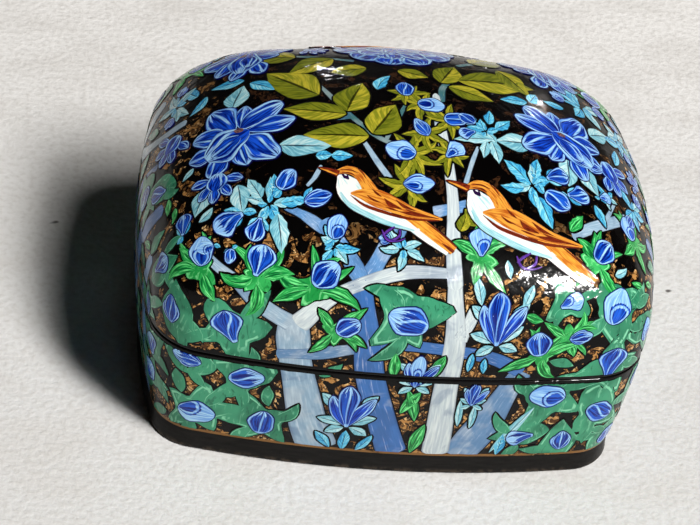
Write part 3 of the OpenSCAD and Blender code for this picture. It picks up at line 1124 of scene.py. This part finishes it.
def ground_paint():
    """Black ground with worn gold and brown flecks, a brown line over the foot and black at the joint."""
    n = Nodes("flecked_black_ground")
    body = n.body()
    height = n.maths("DIVIDE", n.part(body, 2), MM)
    low = n.fade(height, 57, 47)
    share = n.fade(height, 54, 44, 0.55, 0.512)
    patches = n.maths("GREATER_THAN", n.noise(body, 260, 3, 1.0), share)
    gold = n.mix(n.fade(n.noise(body, 420, 2, 2.0), 0.4, 0.6), shade(84, 50, 22), shade(186, 134, 74))
    gold = n.mix(n.fade(n.noise(body, 700, 2, 1.6), 0.56, 0.66), gold, shade(234, 192, 132))
    dusk = n.mix(n.fade(n.noise(body, 700, 2, 0.5), 0.4, 0.62), shade(14, 9, 7), shade(62, 38, 22))
    threads = n.fade(abs(n.noise(body, 420, 3, 2.2) - 0.5), 0.02, 0.045)
    black = shade(4, 3, 3)
    colour = n.mix(patches * threads, black, n.mix(low, dusk, gold))
    colour = n.mix(n.fade(abs(height - JOINT_H), JOINT_LINE, JOINT_LINE + 0.15), black, colour)
    band = n.fade(height, FOOT_H + 0.85, FOOT_H + 0.6) * n.fade(n.noise(body, 160), 0.3, 0.42)
    colour = n.mix(band, colour, shade(140, 98, 52))
    return n.lacquer(colour, 0.4, n.noise(body, 240, 2), 0.12, 0.55)


def inside_lacquer():
    n = Nodes("plain_black_lacquer")
    body = n.body()
    colour = n.mix(n.noise(body, 260, 4), shade(12, 10, 11), shade(28, 24, 24))
    return n.lacquer(colour, 0.45, n.noise(body, 420, 4), 0.35, 0.6)


def neck_lacquer():
    n = Nodes("rubbed_neck_lacquer")
    body = n.body()
    rubbed = n.fade(n.noise(body, 500, 4), 0.56, 0.7)
    colour = n.mix(rubbed, shade(16, 13, 13), shade(52, 38, 28))
    return n.lacquer(colour, 0.42, n.noise(body, 620, 3), 0.25, 0.5)


def foot_lacquer():
    n = Nodes("worn_foot_lacquer")
    body = n.body()
    height = n.maths("DIVIDE", n.part(body, 2), MM)
    brushed = n.noise(n.stretch(body, (1, 1, 6)), 260, 4)
    colour = n.mix(brushed, shade(14, 13, 13), shade(38, 36, 34))
    worn = n.fade(height, 1.6, 0.2) * n.fade(n.noise(body, 700, 3), 0.45, 0.62)
    colour = n.mix(worn, colour, shade(76, 66, 56))
    return n.lacquer(colour, 0.55, n.noise(body, 800, 4), 0.3, 0.25)


def keyline_paint():
    n = Nodes("dark_keyline_paint")
    body = n.body()
    patches = n.fade(n.noise(body, 600, 2), 0.4, 0.7, 0.0, 0.25)
    colour = n.mix(patches, n.trait("tint", "Color"), shade(30, 22, 20))
    return n.lacquer(colour, 0.4, n.noise(body, 240, 2), 0.12, 0.55)


def wood_paint():
    n = Nodes("brushed_tree_paint")
    across, along, seed = n.mark()
    hairs = streaks(n, across, along, seed, 4.0, 6.0)
    patches = n.noise(n.body(), 150, 3, 0.8)
    tone = n.mix(n.fade(patches, 0.5, 0.66, 0.0, 0.3), n.trait("tint", "Color"), shade(236, 240, 236))
    tone = n.mix(n.fade(patches, 0.46, 0.34, 0.0, 0.35), tone, shade(60, 90, 140))
    colour = n.mix(n.fade(hairs, 0.34, 0.7), n.mix(0.3, tone, shade(50, 100, 150)), tone)
    colour = n.mix(n.fade(hairs, 0.58, 0.74) * 0.4, colour, shade(228, 236, 244))
    colour = n.mix(n.fade(abs(across), 0.82, 1.0, 0.0, 0.45), colour, shade(40, 60, 110))
    return n.lacquer(colour, 0.42, hairs, 0.15)


def mass_paint(name, deep, dark, middle, light):
    """A leafy mass, laid on almost evenly, with darker and lighter strokes and a light line near its edge."""
    n = Nodes(name)
    body = n.body()
    out, _, _ = n.mark()
    colour = n.mix(n.fade(n.noise(body, 130, 2, 0.4), 0.4, 0.62), dark, middle)
    strokes = n.noise(n.stretch(body, (1, 1, 0.3)), 700, 3, 1.4)
    colour = n.mix(n.fade(strokes, 0.56, 0.7, 0.0, 0.6), colour, light)
    colour = n.mix(n.fade(strokes, 0.42, 0.3, 0.0, 0.6), colour, deep)
    contour = n.fade(abs(abs(out) - 0.86), 0.06, 0.03)
    colour = n.mix(contour * n.fade(n.noise(body, 170, 1), 0.5, 0.56), colour, light)
    return n.lacquer(colour, 0.42, strokes, 0.2)


def leaf_paint(name, dark, middle, light, vein, split):
    """Leaf with a dark midrib, brush hairs slanting off it and one lighter half."""
    n = Nodes(name)
    across, along, seed = n.mark()
    side = abs(across)
    hairs = streaks(n, along - side * 0.35, across, seed, 9.0, 1.0)
    half = n.fade(across * n.maths("SIGN", seed - 0.5), -0.05, 0.05)
    shaded = n.mix(n.fade(hairs, 0.36, 0.62), dark, middle)
    lit = n.mix(n.fade(hairs, 0.4, 0.66), middle, light)
    plain = n.mix(n.fade(hairs, 0.5, 0.66), shaded, light)
    colour = n.mix(split, plain, n.mix(half, shaded, lit))
    rib = n.fade(side, 0.1, 0.05) * n.fade(along, 0.95, 0.8)
    colour = n.mix(rib * 0.9, colour, vein)
    colour = n.mix(n.fade(side, 0.86, 1.0, 0.0, 0.4), colour, dark)
    return n.lacquer(colour, 0.42, hairs, 0.12)


def strand_paint(name, dark, middle, light):
    """Bright leaf in long wet strokes, with a dark one down its middle."""
    n = Nodes(name)
    across, along, seed = n.mark()
    hairs = streaks(n, across, along, seed, 2.6, 1.5)
    colour = n.mix(n.fade(hairs, 0.36, 0.5), dark, middle)
    colour = n.mix(n.fade(hairs, 0.52, 0.64), colour, light)
    rib = n.fade(abs(across - (seed - 0.5) * 0.5), 0.16, 0.06)
    colour = n.mix(rib * n.fade(along, 0.8, 0.5), colour, dark)
    colour = n.mix(n.fade(abs(across), 0.84, 0.98, 0.0, 0.6), colour, dark)
    return n.lacquer(colour, 0.42, hairs, 0.25)


def rim_line(n, side, along, colour, line):
    """A thin dark line round the edge of a petal or bud."""
    rim = n.maths("MAXIMUM", n.fade(side, 0.93, 0.98), n.fade(along, 0.97, 0.99))
    return n.mix(rim, colour, line)


def petal_paint(name):
    """Royal blue petal with a pale edge, a pale fold that curves in beside it and hairs from its tip."""
    n = Nodes(name)
    across, along, seed = n.mark()
    side = abs(across)
    hairs = streaks(n, across, along, seed, 4.5, 1.3)
    wander = hairs - 0.5
    blue = n.mix(n.fade(hairs, 0.36, 0.66), shade(3, 18, 112), shade(28, 92, 232))
    pale = n.mix(n.fade(hairs, 0.38, 0.62), shade(108, 168, 240), shade(180, 226, 255))
    tip = n.fade(along + wander * 1.3, 0.8, 0.92)
    fold_line = across - n.fade(seed, 0.0, 1.0, -0.8, 0.8) * (1.1 - along)
    fold = n.fade(abs(fold_line), 0.12, 0.06) * n.fade(along, 0.2, 0.4)
    colour = n.mix(n.maths("MAXIMUM", tip * 0.75, fold), blue, pale)
    unsteady = wander * 0.5
    edge = n.maths("MAXIMUM", n.fade(side + unsteady, 0.72, 0.82), n.fade(along + unsteady, 0.9, 0.95))
    colour = rim_line(n, side, along, n.mix(edge, colour, pale), shade(14, 34, 140))
    return n.lacquer(colour, 0.4, hairs, 0.12)


def bud_paint(name):
    """Pale blue bud with royal blue brushed up from its foot, or with rings of it, parted by a pale line."""
    n = Nodes(name)
    across, along, seed = n.mark()
    side = abs(across)
    second = n.maths("FRACT", seed * 7.0)
    hairs = streaks(n, across, along, seed, 4.6, 0.9)
    wander = hairs - 0.5
    pale = n.mix(n.fade(hairs, 0.35, 0.65), shade(104, 162, 236), shade(178, 224, 255))
    royal = n.mix(n.fade(hairs, 0.38, 0.62), shade(4, 22, 116), shade(32, 96, 216))
    brushed = n.maths("LESS_THAN", along + wander * 1.4, n.fade(second, 0, 1, 1.05, 0.7))
    brushed = brushed * n.fade(side, 0.86, 0.76) * n.fade(along, 0.05, 0.1)
    lean = (along - 0.5) * n.fade(second, 0, 1, -1.4, 1.4)
    brushed = brushed * n.fade(abs(across - lean), 0.06, 0.12)
    aside = (across - n.fade(second, 0, 1, -0.4, 0.4)) * 0.42
    below = along - 0.26
    apart = n.maths("SQRT", aside * aside + below * below) + wander * 0.1
    rings = n.maths("MAXIMUM", n.fade(apart, 0.24, 0.22), n.fade(abs(apart - 0.33), 0.035, 0.02))
    ringed = n.maths("GREATER_THAN", seed, 0.72)
    colour = n.mix(ringed * rings + (1.0 - ringed) * brushed, pale, royal)
    return n.lacquer(rim_line(n, side, along, colour, shade(30, 60, 160)), 0.4, hairs, 0.2)


def smooth_paint(name, dark, light, low, high):
    """Even paint with fine hair lines, as on the birds."""
    n = Nodes(name)
    hairs = streaks(n, *n.mark(), 3.0, 3.0)
    return n.lacquer(n.mix(n.fade(hairs, low, high), dark, light), 0.42, hairs, 0.12)


# How each paint is made up, and its colours from dark to light
PAINTS = {
    "emerald_leaf": (mass_paint, (22, 84, 64), (46, 128, 94), (66, 158, 118), (132, 212, 170)),
    "fresh_mass": (mass_paint, (14, 102, 44), (34, 150, 70), (62, 188, 98), (140, 240, 160)),
    "fresh_leaf": (strand_paint, (12, 96, 44), (44, 172, 82), (126, 240, 148)),
    "olive_leaf": (leaf_paint, (92, 102, 22), (136, 140, 34), (204, 188, 56), (18, 22, 6), 1.0),
    "turquoise_leaf": (leaf_paint, (30, 124, 190), (78, 194, 230), (172, 236, 246), (8, 34, 70), 0.8),
    "pale_leaf": (leaf_paint, (98, 170, 192), (152, 214, 224), (214, 242, 242), (8, 34, 60), 0.8),
    "petal": (petal_paint,),
    "bud": (bud_paint,),
    "bird_shade": (smooth_paint, (120, 196, 208), (190, 230, 234), 0.35, 0.6),
    "bird_tail": (smooth_paint, (206, 110, 30), (246, 176, 64), 0.34, 0.6),
    "heart": (smooth_paint, (40, 30, 60), (150, 110, 100), 0.4, 0.6),
    "bird_white": (smooth_paint, (176, 222, 226), (246, 246, 240), 0.3, 0.48),
    "bird_orange": (smooth_paint, (186, 90, 26), (240, 166, 62), 0.34, 0.6),
    "bird_brown": (smooth_paint, (80, 22, 14), (138, 48, 22), 0.4, 0.6),
    "bird_eye": (smooth_paint, (26, 10, 40), (50, 24, 80), 0.4, 0.6),
    "bird_feet": (smooth_paint, (60, 24, 120), (110, 60, 170), 0.4, 0.6),
}


def mixed_paints():
    """A material for every paint: the dark lines, the trees and then the rest."""
    keyline = keyline_paint()
    mixed = {f"{layer}_line": keyline for layer in LAYERS}
    mixed["wood"] = wood_paint()
    for paint, (make, *recipe) in PAINTS.items():
        tones = [shade(*tone) if isinstance(tone, tuple) else tone for tone in recipe]
        mixed[paint] = make(f"{paint}_paint", *tones)
    return mixed


# Laying the paint on the shells


def move_points(mesh, sunk):
    """Moves the selected points of the edited sheet a little into the wall, or out to their lift."""
    cage = bmesh.from_edit_mesh(mesh)
    lift = cage.verts.layers.float["lift"]
    for v in cage.verts:
        if v.select:
            near, out, _, _ = GUIDE.find_nearest(v.co / MM)
            v.co = (near + out * (-PAINT_SUNK if sunk else v[lift])) * MM


def lay(name, paint, material, body):
    """Sheets of one paint on one shell: laid on the skin, cut at the joint, then given their thickness."""
    marks = coats[paint]
    near = [GUIDE.find_nearest(Vector(p))[0] for p in np.concatenate(marks.points)]
    mesh = bpy.data.meshes.new(name)
    mesh.from_pydata([p * MM for p in near], [], marks.faces)
    sheet = bpy.data.objects.new(name, mesh)
    bpy.context.collection.objects.link(sheet)
    for key, kind, field, values in (
        ("stroke", "FLOAT_VECTOR", "vector", marks.stroke),
        ("seed", "FLOAT", "value", marks.seed),
        ("lift", "FLOAT", "value", marks.lift),
        ("tint", "FLOAT_COLOR", "color", marks.tint),
    ):
        mesh.attributes.new(key, kind, "POINT").data.foreach_set(field, np.concatenate(values).ravel())
    pick(sheet)
    edit()
    rise = 1 if body == "lid" else -1
    for z, way in ((JOINT_H + rise * JOINT_LINE, rise), (FOOT_H + FOOT_LINE, 1)):
        select_all()
        bpy.ops.mesh.bisect(plane_co=(0, 0, z * MM), plane_no=(0, 0, way), clear_inner=True)
    edit(False)
    if not mesh.polygons:
        bpy.data.objects.remove(sheet)
        return
    edit()
    select_all()
    move_points(mesh, sunk=True)
    bpy.ops.mesh.extrude_region_move()
    move_points(mesh, sunk=False)
    select_all()
    close_up()
    mesh.materials.append(material)
    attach(sheet, body)


def dress(piece, node, body, slot, *materials):
    """Gives a moulded piece its finish outside, and any second one inside."""
    for material in materials:
        piece.data.materials.append(material)
    if len(materials) > 1:
        for face in piece.data.polygons:
            _, _, _, depth = GUIDE.find_nearest(Vector(face.center) / MM)
            face.material_index = int(depth > INSIDE_DEPTH)
    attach(piece, body)
    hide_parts(node)


ground, inner = ground_paint(), inside_lacquer()
dress(lid_skin(), "lid_shell", "lid", "painted_lid", ground, inner)
dress(base_skin(), "base_shell", "base", "painted_base", ground, inner)
dress(neck_skin(), "neck_band", "base", "neck_lacquer", neck_lacquer())
dress(foot_skin(), "foot_ring", "base", "foot_lacquer", foot_lacquer())

for paint, material in mixed_paints().items():
    lay(f"lid_{paint}", paint, material, "lid")
    lay(f"base_{paint}", paint, material, "base")


# Stage

FLOOR_SIZE = 3
LAMP_REACH = 2.6
LAMP_AIM_Z = 0.04


def floor():
    """A pale cloth that is faintly grained and streaked darker, with painted light that makes it lighter
    towards the back and a little darker in front.
    """
    deselect()
    bpy.ops.mesh.primitive_plane_add(size=FLOOR_SIZE)
    plane = bpy.context.object
    plane.name = "pale_floor"
    n = Nodes("pale_floor_cloth")
    body = n.body()
    grain = n.noise(body, 760, 4)
    # Faint darker streaks, stretched one way across the cloth
    faint_streaks = n.noise(n.stretch(body, (1, 1.7, 1)), 42, 6, 0.3)
    # Painted light: the cloth is painted lighter towards the back, where the lamps' light falls off, and a
    # little darker in front
    colour = n.mix(n.fade(n.part(body, 1), -0.04, 0.18), shade(229, 228, 226), shade(250, 247, 243))
    colour = n.mix(n.fade(faint_streaks, 0.42, 0.72, 0.0, 0.55), colour, shade(220, 216, 211))
    colour = n.mix(n.fade(grain, 0.4, 0.75, 0.0, 0.5), colour, shade(206, 202, 196))
    colour = n.mix(n.fade(n.noise(body, 130, 1), 0.79, 0.81), colour, shade(90, 84, 80))
    relief = n.add("Bump", Strength=0.5, Distance=0.0006, Height=grain)
    shader = n.add("BsdfPrincipled", Base_Color=colour, Roughness=0.9, Normal=n.out(relief))
    n.add("OutputMaterial", Surface=n.out(shader))
    plane.data.materials.append(n.owner)


def lamp(name, way, size, watts, tone=(1, 1, 1), glossy=True, diffuse=True):
    """A lamp far from the box, in the direction way."""
    light = bpy.data.lights.new(name, "AREA")
    light.shape = "ELLIPSE"
    light.size, light.size_y = size
    light.energy = watts
    light.color = tone
    piece = bpy.data.objects.new(name, light)
    bpy.context.collection.objects.link(piece)
    piece.location = Vector(way).normalized() * LAMP_REACH + Vector((0, 0, LAMP_AIM_Z))
    piece.rotation_euler = (-Vector(way)).to_track_quat("-Z", "Y").to_euler()
    piece.visible_glossy = glossy
    piece.visible_diffuse = diffuse


def dim_room():
    """A room that is paler low down and to the right."""
    n = Nodes("studio", "worlds")
    way = n.out(n.add("TexCoord"), "Generated")
    height = n.fade(n.part(way, 2), 0.0, 0.5, 0.055, 0.006, "LINEAR")
    aside = n.fade(n.part(way, 0), -0.4, 0.4, 0.3, 1.1, "LINEAR")
    glow = n.add("Background", Color=(1.0, 0.84, 0.7, 1.0), Strength=height * aside)
    n.add("OutputWorld", Surface=n.out(glow))
    bpy.context.scene.world = n.owner


def studio():
    """A hard key from the right front, its glint on the shoulder and two small ones behind, in a dim room."""
    dim_room()
    lamp("key_light", (0.405, -0.54, 0.738), (0.43, 0.7), 54, (1.0, 0.99, 0.978), glossy=False)
    lamp("high_light", (0.355, -0.374, 0.857), (0.43, 0.72), 31, (1.0, 0.986, 0.965), glossy=False)
    lamp("key_glint", (0.462, -0.762, 0.472), (0.155, 0.38), 106, (1.0, 0.98, 0.95), diffuse=False)
    lamp("left_glint", (-0.07, 0.93, 0.35), (0.1, 0.03), 2.6, diffuse=False)
    lamp("right_glint", (0.46, 0.86, 0.24), (0.07, 0.036), 3.2, diffuse=False)
    bpy.context.scene.view_settings.view_transform = "Standard"


# Camera, found from the corners and edges of the box in the photograph
AZIMUTH, ELEVATION, ROLL = -9.2, 39.1, 9.7
DISTANCE = 629
LENS, SENSOR = 165.8, 36
AIM_RIGHT, AIM_UP, AIM_Z = -7.2, -6.6, 30


def camera():
    azimuth, elevation, roll = (math.radians(v) for v in (AZIMUTH, ELEVATION, ROLL))
    level = Vector((math.sin(azimuth), -math.cos(azimuth), 0))
    back = level * math.cos(elevation) + Vector((0, 0, math.sin(elevation)))
    right = Vector((math.cos(azimuth), math.sin(azimuth), 0))
    up = back.cross(right)
    aim = Vector((0, 0, AIM_Z)) + right * AIM_RIGHT + up * AIM_UP
    data = bpy.data.cameras.new("camera")
    data.lens, data.sensor_width = LENS, SENSOR
    data.clip_start, data.clip_end = 0.05, 10
    eye = bpy.data.objects.new("camera", data)
    bpy.context.collection.objects.link(eye)
    rolled_right = right * math.cos(roll) + up * math.sin(roll)
    rolled_up = up * math.cos(roll) - right * math.sin(roll)
    turn = eye.matrix_world.to_3x3()
    turn.col[0], turn.col[1], turn.col[2] = rolled_right, rolled_up, back
    eye.matrix_world = turn.to_4x4()
    eye.location = (aim + back * DISTANCE) * MM
    bpy.context.scene.camera = eye


floor()
studio()
camera()
